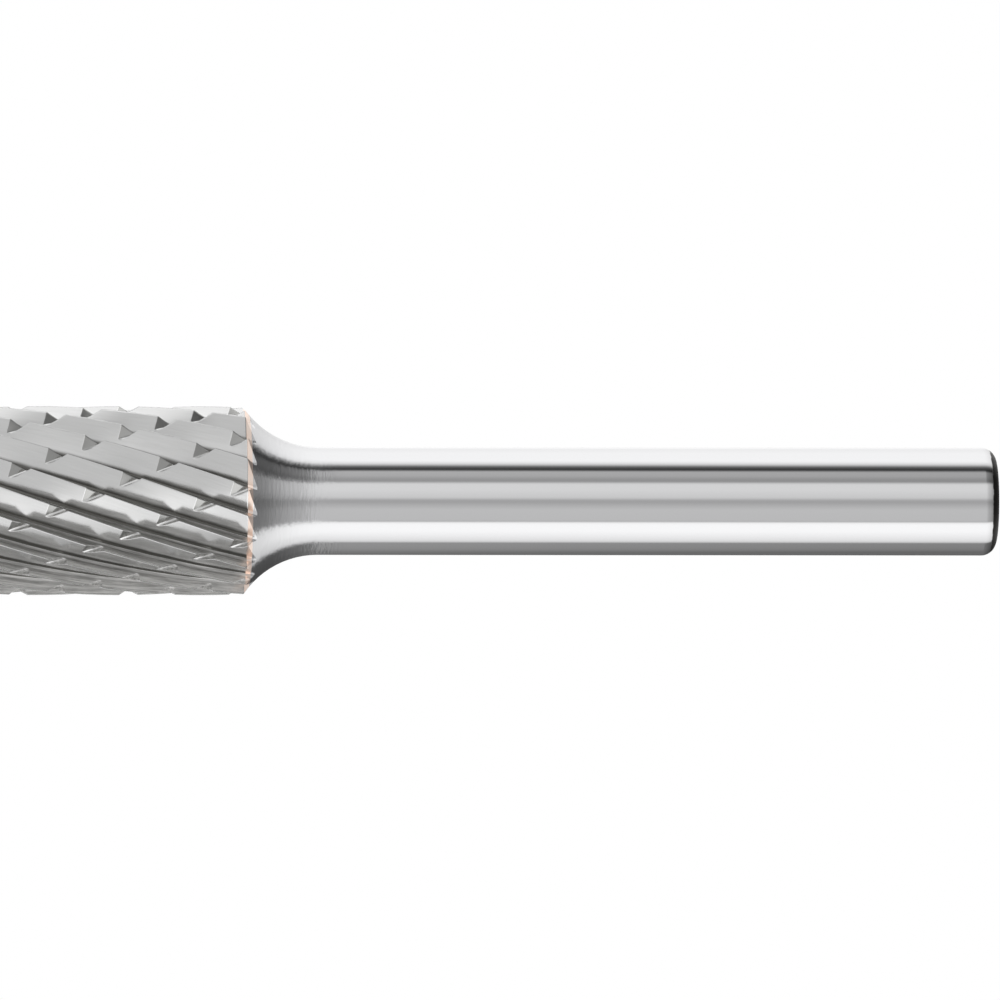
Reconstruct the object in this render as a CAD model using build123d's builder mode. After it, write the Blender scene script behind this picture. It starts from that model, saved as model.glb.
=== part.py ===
from build123d import *
import os
from math import cos, radians, sin, sqrt

# Cylindrical double-cut carbide burr: a tungsten carbide head butt-brazed onto a steel shank.
# It stands on the flat free end of its head: the axis is Z, z = 0 is that end, the shank points up.

# ---- driving dimensions, mm and degrees ----
shank_diameter = 6.35          # 1/4 inch
head_diameter = 11.11          # 7/16 inch, over the cutting edges
head_length = 25.4             # 1 inch
overall_length = 69.85         # 2 3/4 inch
end_chamfer = 0.3              # on the free end of the head

braze_thickness = 0.3          # layer of filler between carbide and steel
neck_radius = 5.28             # concave flare from shank to head, ground across the joint
neck_start = 4.36              # from the carbide face to where the flare meets the shank
shank_end_radius = 0.85        # rounded edge at the free end of the shank

tooth_count = 20               # main flutes, right-hand helix
tooth_lead = 97.6              # rise of the helix in one turn
tooth_phase = 5.54             # where one cutting edge crosses z = 0
tooth_root_diameter = 9.56     # across the flute bottoms
tooth_root_radius = 0.17       # hollow along the bottom of a flute
tooth_root_flats = 2           # narrow flats that make up that hollow
tooth_back_slope = 39.0        # back where it meets the hollow, from square to its own rake face
tooth_back_ridge = 0.025       # rise of a tooth's back halfway down, between its land and its relief

breaker_count = 10             # chip-breaker grooves, left-hand helix
breaker_lead = 78.1
breaker_phase = 20.6           # where one steep wall crosses z = 0
breaker_root_diameter = 10.09  # across the groove bottoms
breaker_root_radius = 0.12     # hollow along the bottom of a groove
breaker_root_flats = 2
breaker_back_slope = 31.0      # gentle wall, from square to the steep wall

# ---- worked out from them ----
shank_radius = shank_diameter / 2
head_radius = head_diameter / 2
steel_start = head_length + braze_thickness
neck_top = head_length + neck_start
neck_centre_distance = shank_radius + neck_radius
clear_radius = head_radius + 0.8     # outside the teeth
cut_start = -0.5                     # below the free end
cut_end = head_length + 1.2          # above the last trace of a flute on the steel
cut_height = cut_end - cut_start


def neck_height_at(radius):
    """Height at which the flare has this radius."""
    return neck_top - sqrt(neck_radius**2 - (neck_centre_distance - radius) ** 2)


def neck_radius_at(height):
    """Radius of the flare at this height."""
    return neck_centre_distance - sqrt(neck_radius**2 - (neck_top - height) ** 2)


def polar(radius, angle):
    """Point of the XY plane at this distance and direction from the axis."""
    return Vector(radius * cos(radians(angle)), radius * sin(radians(angle)))


def hollow_points(centre, radius, start_normal, end_normal, flats):
    """Corners of the narrow flats that make up a concave hollow between two walls."""
    turn = (end_normal - start_normal) / flats
    return [centre - polar(radius, start_normal + flat * turn) for flat in range(flats + 1)]


# ---- form of the main flutes ----
# The section is a ring of saw teeth. A tooth's rake face is radial and looks towards -angle.
# Its back falls towards +angle, down to the hollow in front of the next rake face.
tooth_pitch = 360 / tooth_count
first_edge = tooth_phase + 360 * cut_start / tooth_lead
rake_foot_radius = sqrt((tooth_root_diameter / 2 + tooth_root_radius) ** 2 - tooth_root_radius**2)

with BuildPart() as flute_form:
    with BuildSketch(Plane.XY.offset(cut_start)):
        with BuildLine():
            for tooth in range(tooth_count):
                edge = first_edge + tooth * tooth_pitch
                next_edge = edge + tooth_pitch
                back_normal = edge + tooth_back_slope
                rake_normal = next_edge - 90
                rake_foot = polar(rake_foot_radius, next_edge)
                hollow_centre = rake_foot + polar(tooth_root_radius, rake_normal)
                hollow = hollow_points(
                    hollow_centre, tooth_root_radius, back_normal, rake_normal, tooth_root_flats
                )
                cutting_edge = polar(head_radius, edge)
                back_ridge = (cutting_edge + hollow[0]) / 2 + polar(tooth_back_ridge, back_normal)
                Polyline(cutting_edge, back_ridge, *hollow, polar(head_radius, next_edge))
        make_face()
    with BuildLine() as flute_axis:
        Line((0, 0, cut_start), (0, 0, cut_end))
    with BuildLine(mode=Mode.PRIVATE) as flute_guide:
        Helix(tooth_lead, cut_height, head_radius, center=(0, 0, cut_start))
    sweep(path=flute_axis.wires()[0], binormal=flute_guide.wires()[0])

# ---- form of the chip-breaker grooves ----
# Each groove has a steep radial wall and a gentle wall that runs out through the teeth.
first_wall = breaker_phase - 360 * cut_start / breaker_lead
wall_foot_radius = sqrt(
    (breaker_root_diameter / 2 + breaker_root_radius) ** 2 - breaker_root_radius**2
)

with BuildSketch() as breaker_gap:
    with BuildLine():
        wall_foot = polar(wall_foot_radius, 0)
        wall_top = polar(1.2 * clear_radius, 0)
        hollow_centre = wall_foot + polar(breaker_root_radius, -90)
        hollow = hollow_points(
            hollow_centre, breaker_root_radius, breaker_back_slope, -90, breaker_root_flats
        )
        back_top = hollow[0] + polar(clear_radius, breaker_back_slope - 90)
        Polyline(back_top, *hollow, wall_top, close=True)
    make_face()

with BuildPart() as breaker_form:
    with BuildSketch(Plane.XY.offset(cut_start)):
        Circle(clear_radius)
        with PolarLocations(0, breaker_count, start_angle=first_wall):
            add(breaker_gap.sketch, mode=Mode.SUBTRACT)
    with BuildLine() as breaker_axis:
        Line((0, 0, cut_start), (0, 0, cut_end))
    with BuildLine(mode=Mode.PRIVATE) as breaker_guide:
        Helix(breaker_lead, cut_height, head_radius, center=(0, 0, cut_start), lefthand=True)
    sweep(path=breaker_axis.wires()[0], binormal=breaker_guide.wires()[0])

with BuildPart() as cut_form:
    add(flute_form.part)
    add(breaker_form.part, mode=Mode.INTERSECT)

# ---- carbide head ----
with BuildPart() as carbide_head:
    with BuildSketch(Plane.XZ):
        with BuildLine():
            Line((0, 0), (head_radius - end_chamfer, 0))
            Line((head_radius - end_chamfer, 0), (clear_radius, clear_radius - head_radius + end_chamfer))
            Line(
                (clear_radius, clear_radius - head_radius + end_chamfer),
                (clear_radius, neck_height_at(clear_radius)),
            )
            RadiusArc(
                (clear_radius, neck_height_at(clear_radius)),
                (neck_radius_at(head_length), head_length),
                neck_radius,
            )
            Line((neck_radius_at(head_length), head_length), (0, head_length))
            Line((0, head_length), (0, 0))
        make_face()
    revolve(axis=Axis.Z)
    add(cut_form.part, mode=Mode.INTERSECT)

carbide_head.part.label = "carbide_head"

# ---- braze joint: a thin disc of filler metal, ground flush with the flare and the flutes ----
with BuildPart() as braze_joint:
    with BuildSketch(Plane.XZ):
        with BuildLine():
            Line((0, head_length), (neck_radius_at(head_length), head_length))
            RadiusArc(
                (neck_radius_at(head_length), head_length),
                (neck_radius_at(steel_start), steel_start),
                neck_radius,
            )
            Line((neck_radius_at(steel_start), steel_start), (0, steel_start))
            Line((0, steel_start), (0, head_length))
        make_face()
    revolve(axis=Axis.Z)
    add(cut_form.part, mode=Mode.INTERSECT)

braze_joint.part.label = "braze_joint"

# ---- steel shank: turned with its flared neck, the flutes running out on the shoulder ----
with BuildPart() as run_outs:
    with BuildSketch(Plane.XY.offset(head_length)):
        Circle(clear_radius)
    extrude(amount=cut_end - head_length)
    add(cut_form.part, mode=Mode.SUBTRACT)

with BuildPart() as steel_shank:
    with BuildSketch(Plane.XZ):
        with BuildLine():
            Line((0, steel_start), (neck_radius_at(steel_start), steel_start))
            RadiusArc(
                (neck_radius_at(steel_start), steel_start),
                (shank_radius, neck_top),
                neck_radius,
            )
            Line((shank_radius, neck_top), (shank_radius, overall_length))
            Line((shank_radius, overall_length), (0, overall_length))
            Line((0, overall_length), (0, steel_start))
        make_face()
    revolve(axis=Axis.Z)
    fillet(steel_shank.edges().group_by(Axis.Z)[-1], shank_end_radius)
    add(run_outs.part, mode=Mode.SUBTRACT)

steel_shank.part.label = "steel_shank"

os.makedirs("parts", exist_ok=True)
export_step(carbide_head.part, "parts/carbide_head.step")
export_step(braze_joint.part, "parts/braze_joint.step")
export_step(steel_shank.part, "parts/steel_shank.step")
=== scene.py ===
import math

import bpy
from mathutils import Matrix, Vector


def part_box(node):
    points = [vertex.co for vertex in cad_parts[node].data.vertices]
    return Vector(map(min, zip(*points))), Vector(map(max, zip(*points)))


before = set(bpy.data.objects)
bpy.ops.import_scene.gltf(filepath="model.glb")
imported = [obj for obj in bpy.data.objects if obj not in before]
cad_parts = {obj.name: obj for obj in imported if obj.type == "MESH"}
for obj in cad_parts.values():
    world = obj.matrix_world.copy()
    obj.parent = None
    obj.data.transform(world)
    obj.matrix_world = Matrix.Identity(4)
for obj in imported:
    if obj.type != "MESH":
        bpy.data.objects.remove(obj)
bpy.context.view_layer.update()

# A cylindrical double-cut carbide burr, standing on the flat free end of its head.
# The axis is Z. The camera looks along +Y, with the shank to the right in its view.

MM = 0.001

# ---- the tool, in millimetres: from the frame's boxes, and the form of its cut as the part has it ----
OVERALL_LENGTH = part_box("steel_shank")[1].z / MM
EDGE_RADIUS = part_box("carbide_head")[1].y / MM
FLUTE_DEPTH = 0.775
GULLET_RADIUS = EDGE_RADIUS - FLUTE_DEPTH
TOOTH_LEAD = 97.6                    # rise of the right-hand flutes in one turn

# ---- camera: a long lens one metre in front, level with a point a little under the tool ----
CAMERA_PLACE = Vector((-0.07, -1000, -28)) * MM
VIEW_CENTRE = Vector((-0.07, 0, 40.53)) * MM
CAMERA_ROLL = math.radians(0.07)
CAMERA_LENS = 612.4                  # mm
SENSOR_WIDTH = 36                    # mm
NEAREST_SEEN = 10 * MM
FLOOR_RADIUS = 260 * MM              # ends before it comes between the camera and the tool
FLOOR_CORNERS = 96

# ---- shading of the part's facets ----
SEAM_GAP = 0.0005 * MM               # corners nearer than this are joined
CUT_EDGE = 14                        # degrees: facets of the cut that meet at more make an edge
TURNED_EDGE = 40                     # the same for the turned shank


def linear(hex_colour):
    """Linear RGBA of an sRGB hex colour."""
    parts = [int(hex_colour[i:i + 2], 16) / 255 for i in (1, 3, 5)]
    return tuple(c / 12.92 if c <= 0.04045 else ((c + 0.055) / 1.055) ** 2.4 for c in parts) + (1,)


def add_node(tree, kind, inputs=None, **settings):
    """Adds a node; each input is a value, or the output socket that feeds it."""
    made = tree.nodes.new(kind)
    for name, value in settings.items():
        setattr(made, name, value)
    for name, value in (inputs or {}).items():
        if isinstance(value, bpy.types.NodeSocket):
            tree.links.new(value, made.inputs[name])
        else:
            made.inputs[name].default_value = value
    return made


# ================= surroundings =================
# The bright metal mirrors the studio around it. A card or softbox is placed by the slope of the metal
# that mirrors it to the front: "turn" is how far that metal faces round the axis from the front, and
# "lean" how far it faces up the axis, both from -90 to 90 degrees. Each light has its brightness over
# the turn, and then the share of it that is left over the lean.

FRONT = Vector((0, -1, 0))           # the side of the tool that faces the camera
BRIGHTEST = 2                        # what a ramp's full white stands for

SOFTBOXES = (
    [(-90, 1.35), (-75, 1.2), (-62, 1.4), (-48, 1.43), (-44, 1.1), (-40, 0.22), (-38, 0.08), (-36, 0.0),
     (21.5, 0.0), (23.5, 1.4), (26, 1.51), (34, 1.51), (40, 1.36), (46, 1.18), (48.5, 1.0), (51, 0.0),
     (90, 0.0)],
    [(-90, 0.0), (-8, 0.0), (-4, 1.0), (10, 1.0), (25, 0.9), (45, 0.72), (90, 0.5)],
)
FRONT_CARD = (
    [(-90, 0.0), (-21.5, 0.0), (-18.5, 1.04), (-12, 1.04), (-4, 0.92), (-1, 0.58), (1, 0.56), (5, 0.69),
     (9, 0.8), (21, 0.78), (23, 0.0), (90, 0.0)],
    [(-90, 0.0), (-8, 0.0), (-4, 1.0), (6, 1.0), (13, 0.78), (24, 0.66), (32, 0.5), (40, 0.36), (50, 0.3),
     (90, 0.25)],
)
SIDE_CARDS = (
    [(-90, 0.0), (-38, 0.03), (-35.5, 0.06), (-33, 0.7), (-28, 0.66), (-24, 0.5), (-21.5, 0.48),
     (-18.5, 0.0), (48.5, 0.0), (51.5, 0.5), (62, 0.48), (70, 0.4), (78, 0.42), (90, 0.55)],
    [(-90, 0.0), (-8, 0.0), (-4, 1.0), (3, 1.0), (9, 0.5), (17, 0.4), (25, 0.32), (35, 0.22), (45, 0.2),
     (90, 0.2)],
)
HEAD_END_CARD = (
    [(-90, 1.15), (-42, 1.12), (-36, 0.76), (18, 0.72), (24, 0.85), (30, 1.06), (38, 1.0), (50, 0.92),
     (55, 0.65), (60, 0.45), (67, 0.35), (90, 0.28)],
    [(-90, 1.0), (-8, 1.0), (-4, 0.0), (90, 0.0)],
)


def mirrored_light(tree):
    """Brightness of the studio in each direction: the cards and softboxes added up."""
    direction = add_node(tree, "ShaderNodeTexCoord").outputs["Generated"]
    halfway = add_node(tree, "ShaderNodeVectorMath", {0: direction, 1: FRONT}, operation="ADD")
    slope = add_node(tree, "ShaderNodeVectorMath", {0: halfway.outputs[0]}, operation="NORMALIZE")
    split = add_node(tree, "ShaderNodeSeparateXYZ", {0: slope.outputs[0]})
    forward = add_node(tree, "ShaderNodeMath", {0: split.outputs["Y"], 1: -1.0}, operation="MULTIPLY")
    turn = add_node(tree, "ShaderNodeMath", {0: split.outputs["X"], 1: forward.outputs[0]},
                    operation="ARCTAN2")
    lean = add_node(tree, "ShaderNodeMath", {0: split.outputs["Z"]}, operation="ARCSINE")
    turn_place, lean_place = (
        add_node(tree, "ShaderNodeMapRange",
                 {"Value": angle.outputs[0], "From Min": -math.pi / 2, "From Max": math.pi / 2})
        for angle in (turn, lean)
    )
    total = None
    for levels, shares in (SOFTBOXES, FRONT_CARD, SIDE_CARDS, HEAD_END_CARD):
        level, share = (add_node(tree, "ShaderNodeValToRGB", {0: place.outputs[0]})
                        for place in (turn_place, lean_place))
        for ramp, stops, full in ((level, levels, BRIGHTEST), (share, shares, 1)):
            elements = ramp.color_ramp.elements
            for degrees, value in stops[1:-1]:
                elements.new((degrees + 90) / 180)
            for element, (degrees, value) in zip(elements, stops):
                element.color = (value / full, value / full, value / full, 1)
        card = add_node(tree, "ShaderNodeMath", {0: level.outputs[0], 1: share.outputs[0]},
                        operation="MULTIPLY")
        if total:
            card = add_node(tree, "ShaderNodeMath", {0: card.outputs[0], 1: total.outputs[0]},
                            operation="ADD")
        total = card
    return add_node(tree, "ShaderNodeMath", {0: total.outputs[0], 1: BRIGHTEST}, operation="MULTIPLY")


def studio_world():
    """Metal mirrors the studio. The background is plain white, and so is the light on the matt floor."""
    world = bpy.data.worlds.new("studio_surroundings")
    bpy.context.scene.world = world
    world.use_nodes = True
    tree = world.node_tree
    tree.nodes.clear()
    studio = add_node(tree, "ShaderNodeBackground",
                      {"Color": (1, 1, 1, 1), "Strength": mirrored_light(tree).outputs[0]})
    white = add_node(tree, "ShaderNodeBackground", {"Color": (1, 1, 1, 1), "Strength": 1.0})
    rays = add_node(tree, "ShaderNodeLightPath")
    plain = add_node(tree, "ShaderNodeMath", {0: rays.outputs["Is Camera Ray"],
                                              1: rays.outputs["Is Diffuse Ray"]}, operation="MAXIMUM")
    mixed = add_node(tree, "ShaderNodeMixShader",
                     {0: plain.outputs[0], 1: studio.outputs[0], 2: white.outputs[0]})
    add_node(tree, "ShaderNodeOutputWorld", {"Surface": mixed.outputs[0]})


# ================= materials =================
# Sizes are in millimetres, and a noise texture's scale is its waves to the millimetre.

def new_material(name):
    material = bpy.data.materials.new(name)
    material.use_nodes = True
    material.node_tree.nodes.clear()
    return material, material.node_tree


def millimetres(tree):
    """The place on the piece, in millimetres."""
    place = add_node(tree, "ShaderNodeTexCoord").outputs["Object"]
    return add_node(tree, "ShaderNodeVectorMath", {0: place, "Scale": 1 / MM}, operation="SCALE").outputs[0]


# ---- carbide ----
GRINDING_LINES = 9.0                 # waves across the teeth; real lines are finer and wouldn't show
LINE_DRAW = 0.06                     # waves along a tooth, as a share of those across it
LINE_DEPTH = 0.003
LINE_STRENGTH = 0.1
EDGE_HONE = 0.1                      # radius of the honed edges; a real one is finer and wouldn't show
HONE_SAMPLES = 8
GULLET_PAINTED_SHADE = (0.02, 0.15)           # height over the bottom of a flute: where the painted shade in a gullet is full, and where it is gone
PAINTED_EDGE_HIGHLIGHT = (0.13, 0.07)           # depth under the cutting edge: where a rake face is dull, and where it is bright with a painted highlight
RAKE_FACING = (-0.7, -0.45)          # part of the normal that runs round the tool: on a rake face, and off
SHADED_WALL_FACING = (0.08, 0.16)           # part of the normal that points up: where the painted shade of a groove's wall is off, and on
SCORED = (0.35, 0.65)                # span of the lines' noise that a rake face shows
SATIN = (0.16, 0.24)                 # roughness of the ground backs, between one line and the next
DULLER = 0.34                        # roughness that a rake face adds


def grinding_lines(tree, place):
    """Fine lines along the flutes: noise on the piece with its twist taken out."""
    height = add_node(tree, "ShaderNodeSeparateXYZ", {0: place}).outputs["Z"]
    untwist = add_node(tree, "ShaderNodeMath", {0: height, 1: -2 * math.pi / TOOTH_LEAD},
                       operation="MULTIPLY")
    straight = add_node(tree, "ShaderNodeVectorRotate", {"Vector": place, "Angle": untwist.outputs[0]},
                        rotation_type="Z_AXIS")
    drawn = add_node(tree, "ShaderNodeVectorMath", {0: straight.outputs[0], 1: (1, 1, LINE_DRAW)},
                     operation="MULTIPLY")
    lines = add_node(tree, "ShaderNodeTexNoise", {"Vector": drawn.outputs[0], "Scale": GRINDING_LINES,
                                                  "Detail": 4.0, "Roughness": 0.6})
    return lines.outputs["Fac"]


def tooth_zones(tree, place):
    """How far a point is in a gullet's painted shade, on the dull part of a rake face below the painted
    edge highlight, and in the painted shade of a groove's wall, 0 to 1.
    """
    across = add_node(tree, "ShaderNodeVectorMath", {0: place, 1: (1, 1, 0)}, operation="MULTIPLY")
    radius = add_node(tree, "ShaderNodeVectorMath", {0: across.outputs[0]},
                      operation="LENGTH").outputs["Value"]
    outward = add_node(tree, "ShaderNodeVectorMath", {0: across.outputs[0]}, operation="NORMALIZE")
    around = add_node(tree, "ShaderNodeVectorMath", {0: (0, 0, 1), 1: outward.outputs[0]},
                      operation="CROSS_PRODUCT")
    normal = add_node(tree, "ShaderNodeTexCoord").outputs["Normal"]
    facing = add_node(tree, "ShaderNodeVectorMath", {0: normal, 1: around.outputs[0]},
                      operation="DOT_PRODUCT").outputs["Value"]
    upward = add_node(tree, "ShaderNodeSeparateXYZ", {0: normal}).outputs["Z"]
    gullet = add_node(tree, "ShaderNodeMapRange",
                      {"Value": radius, "From Min": GULLET_RADIUS + GULLET_PAINTED_SHADE[0],
                       "From Max": GULLET_RADIUS + GULLET_PAINTED_SHADE[1], "To Min": 1.0, "To Max": 0.0},
                      interpolation_type="SMOOTHSTEP")
    rake = add_node(tree, "ShaderNodeMapRange",
                    {"Value": facing, "From Min": RAKE_FACING[0], "From Max": RAKE_FACING[1],
                     "To Min": 1.0, "To Max": 0.0}, interpolation_type="SMOOTHSTEP")
    # a band just under the cutting edge is kept out of the dull rake finish: a painted highlight
    off_painted_edge_highlight = add_node(tree, "ShaderNodeMapRange",
                      {"Value": radius, "From Min": EDGE_RADIUS - PAINTED_EDGE_HIGHLIGHT[0],
                       "From Max": EDGE_RADIUS - PAINTED_EDGE_HIGHLIGHT[1], "To Min": 1.0, "To Max": 0.0},
                      interpolation_type="SMOOTHSTEP")
    dull = add_node(tree, "ShaderNodeMath", {0: rake.outputs[0], 1: off_painted_edge_highlight.outputs[0]},
                    operation="MULTIPLY")
    wall = add_node(tree, "ShaderNodeMapRange",
                    {"Value": upward, "From Min": SHADED_WALL_FACING[0], "From Max": SHADED_WALL_FACING[1]},
                    interpolation_type="SMOOTHSTEP")
    return gullet.outputs[0], dull.outputs[0], wall.outputs[0]


def ground_carbide():
    """Cobalt-bonded tungsten carbide, its teeth ground by a diamond wheel: bright satin backs with fine
    lines along the flutes, honed edges, and duller, streakier rake faces. Painted shade darkens the gullets
    and the groove walls that face up the axis, and a painted highlight keeps a band along each cutting edge
    bright."""
    material, tree = new_material("ground_tungsten_carbide")
    place = millimetres(tree)
    lines = grinding_lines(tree, place)
    gullet, dull, wall = tooth_zones(tree, place)
    colour = add_node(tree, "ShaderNodeMix", {"Factor": lines, "A": linear("#D2D2D1"),
                                              "B": linear("#E2E2E2")}, data_type="RGBA")
    # painted shade: darker towards the bottom of each flute, in the gullets
    colour = add_node(tree, "ShaderNodeMix", {"Factor": gullet, "A": colour.outputs["Result"],
                                              "B": linear("#62615E")}, data_type="RGBA")
    # painted shade: faces that point up the axis, such as the groove walls, are darker
    colour = add_node(tree, "ShaderNodeMix", {"Factor": wall, "A": colour.outputs["Result"],
                                              "B": linear("#B0B0AE")}, data_type="RGBA")
    scored = add_node(tree, "ShaderNodeMapRange", {"Value": lines, "From Min": SCORED[0],
                                                   "From Max": SCORED[1]})
    rake_face = add_node(tree, "ShaderNodeMix", {"Factor": scored.outputs[0], "A": linear("#B2B1AF"),
                                                 "B": linear("#EEEDEB")}, data_type="RGBA")
    # the rake faces take a duller, streakier colour; a band along each cutting edge keeps the back's
    # brighter colour as a painted highlight
    colour = add_node(tree, "ShaderNodeMix", {"Factor": dull, "A": colour.outputs["Result"],
                                              "B": rake_face.outputs["Result"]}, data_type="RGBA")
    satin = add_node(tree, "ShaderNodeMapRange", {"Value": lines, "To Min": SATIN[0], "To Max": SATIN[1]})
    roughness = add_node(tree, "ShaderNodeMath", {0: dull, 1: DULLER, 2: satin.outputs[0]},
                         operation="MULTIPLY_ADD")
    honed = add_node(tree, "ShaderNodeBevel", {"Radius": EDGE_HONE * MM}, samples=HONE_SAMPLES)
    bump = add_node(tree, "ShaderNodeBump", {"Strength": LINE_STRENGTH, "Distance": LINE_DEPTH * MM,
                                             "Height": lines, "Normal": honed.outputs[0]})
    shader = add_node(tree, "ShaderNodeBsdfPrincipled",
                      {"Base Color": colour.outputs["Result"], "Metallic": 1.0,
                       "Roughness": roughness.outputs[0], "Normal": bump.outputs[0]})
    add_node(tree, "ShaderNodeOutputMaterial", {"Surface": shader.outputs[0]})
    return material


# ---- braze ----
MOTTLE_WAVES = 2.2
BRAZE_ROUGHNESS = 0.3


def ground_braze():
    """Copper-based brazing filler, ground flush with its neighbours: a satin peach metal."""
    material, tree = new_material("ground_copper_braze")
    mottle = add_node(tree, "ShaderNodeTexNoise", {"Vector": millimetres(tree), "Scale": MOTTLE_WAVES,
                                                   "Detail": 3.0})
    colour = add_node(tree, "ShaderNodeMix", {"Factor": mottle.outputs["Fac"], "A": linear("#FBDDCB"),
                                              "B": linear("#FFF3EA")}, data_type="RGBA")
    shader = add_node(tree, "ShaderNodeBsdfPrincipled",
                      {"Base Color": colour.outputs["Result"], "Metallic": 1.0,
                       "Roughness": BRAZE_ROUGHNESS})
    add_node(tree, "ShaderNodeOutputMaterial", {"Surface": shader.outputs[0]})
    return material


# ---- steel ----
TURNING_RINGS = 7.0                  # waves along the axis; real rings are finer and wouldn't show
RING_BREAK = 0.18                    # waves across it, as a share of those along it
RING_DEPTH = 0.02
RINGS_END = (29.0, 31.5)             # height over the free end of the head: where they are full, and gone
BLACK_LENGTH = 0.41                  # of the end of the shank
BLACK_WAVES = 3.0                    # in the line where the black begins
BLACK_WANDER = 0.12                  # by which that line strays along the axis
BLACK_BLUR = 0.03
POLISHED = 0.08                      # roughness of the shank
TURNED = 0.06                        # roughness that the neck adds
UNGROUND = 0.35                      # roughness that the black end adds


def turned_neck(tree, place, height):
    """Turning rings at the neck: their height, and how far a point is in their reach, 0 to 1."""
    drawn = add_node(tree, "ShaderNodeVectorMath", {0: place, 1: (RING_BREAK, RING_BREAK, 1)},
                     operation="MULTIPLY")
    rings = add_node(tree, "ShaderNodeTexNoise", {"Vector": drawn.outputs[0], "Scale": TURNING_RINGS,
                                                  "Detail": 4.0})
    neck = add_node(tree, "ShaderNodeMapRange",
                    {"Value": height, "From Min": RINGS_END[0], "From Max": RINGS_END[1], "To Min": 1.0,
                     "To Max": 0.0}, interpolation_type="SMOOTHSTEP")
    ring_height = add_node(tree, "ShaderNodeMath", {0: rings.outputs["Fac"], 1: neck.outputs[0]},
                           operation="MULTIPLY")
    return ring_height.outputs[0], neck.outputs[0]


def black_end(tree, place, height):
    """How far a point is in the black end of the shank, 0 to 1, with a slightly uneven line."""
    wobble = add_node(tree, "ShaderNodeTexNoise", {"Vector": place, "Scale": BLACK_WAVES, "Detail": 3.0})
    uneven = add_node(tree, "ShaderNodeMath", {0: wobble.outputs["Fac"], 1: BLACK_WANDER, 2: height},
                      operation="MULTIPLY_ADD")
    start = OVERALL_LENGTH - BLACK_LENGTH + BLACK_WANDER / 2
    black = add_node(tree, "ShaderNodeMapRange",
                     {"Value": uneven.outputs[0], "From Min": start - BLACK_BLUR,
                      "From Max": start + BLACK_BLUR}, interpolation_type="SMOOTHSTEP")
    return black.outputs[0]


def polished_steel():
    """Hardened steel, turned at the neck and centreless ground and polished on the shank: a mirror with
    fine turning rings at the neck and a matt black end that was left as hardened."""
    material, tree = new_material("polished_hardened_steel")
    place = millimetres(tree)
    height = add_node(tree, "ShaderNodeSeparateXYZ", {0: place}).outputs["Z"]
    ring_height, neck = turned_neck(tree, place, height)
    black = black_end(tree, place, height)
    colour = add_node(tree, "ShaderNodeMix", {"Factor": black, "A": linear("#CECECF"),
                                              "B": linear("#2C2B2A")}, data_type="RGBA")
    bright = add_node(tree, "ShaderNodeMath", {0: neck, 1: TURNED, 2: POLISHED}, operation="MULTIPLY_ADD")
    roughness = add_node(tree, "ShaderNodeMath", {0: black, 1: UNGROUND, 2: bright.outputs[0]},
                         operation="MULTIPLY_ADD")
    bump = add_node(tree, "ShaderNodeBump", {"Strength": 1.0, "Distance": RING_DEPTH * MM,
                                             "Height": ring_height})
    shader = add_node(tree, "ShaderNodeBsdfPrincipled",
                      {"Base Color": colour.outputs["Result"], "Metallic": 1.0,
                       "Roughness": roughness.outputs[0], "Normal": bump.outputs[0]})
    add_node(tree, "ShaderNodeOutputMaterial", {"Surface": shader.outputs[0]})
    return material


# ---- floor ----
def pale_floor():
    """Board painted matt white: an even off-white with no gloss."""
    material, tree = new_material("matt_white_painted_board")
    shader = add_node(tree, "ShaderNodeBsdfPrincipled", {"Base Color": linear("#F2F2F0"), "Roughness": 0.9})
    add_node(tree, "ShaderNodeOutputMaterial", {"Surface": shader.outputs[0]})
    return material


# ================= the tool =================

def finish_piece(name, material, edge_angle):
    """Gives a part's node its material, and shades facets that meet at less than the angle as one."""
    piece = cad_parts[name]
    piece.data.materials.clear()
    piece.data.materials.append(material)
    bpy.context.view_layer.objects.active = piece
    if piece.data.has_custom_normals:
        with bpy.context.temp_override(object=piece, active_object=piece):
            bpy.ops.mesh.customdata_custom_splitnormals_clear()
    for face in piece.data.polygons:
        face.use_smooth = True
    weld = piece.modifiers.new("join_seams", "WELD")
    weld.merge_threshold = SEAM_GAP
    split = piece.modifiers.new("sharp_edges", "EDGE_SPLIT")
    split.split_angle = math.radians(edge_angle)


bpy.ops.object.select_all(action="DESELECT")
finish_piece("carbide_head", ground_carbide(), CUT_EDGE)
finish_piece("braze_joint", ground_braze(), CUT_EDGE)
finish_piece("steel_shank", polished_steel(), TURNED_EDGE)

# ================= floor, light and camera =================
bpy.ops.mesh.primitive_circle_add(vertices=FLOOR_CORNERS, radius=FLOOR_RADIUS, fill_type="NGON")
floor = bpy.context.object
floor.name = "floor"
floor.visible_glossy = False         # the metal mirrors the studio in its place
floor.data.materials.append(pale_floor())

studio_world()

scene = bpy.context.scene
scene.view_settings.view_transform = "Standard"

camera_data = bpy.data.cameras.new("camera")
camera_data.lens = CAMERA_LENS
camera_data.sensor_width = SENSOR_WIDTH
camera_data.clip_start = NEAREST_SEEN
camera = bpy.data.objects.new("camera", camera_data)
scene.collection.objects.link(camera)

# The tool's axis runs across the view: the camera's right is Z, square to the way it looks.
ahead = (VIEW_CENTRE - CAMERA_PLACE).normalized()
right = Vector((0, 0, 1)) - ahead * ahead.z
right.normalize()
up = right.cross(ahead)
turned = Matrix((right, up, -ahead)).transposed().to_4x4()
camera.matrix_world = Matrix.Translation(CAMERA_PLACE) @ turned @ Matrix.Rotation(CAMERA_ROLL, 4, "Z")
scene.camera = camera
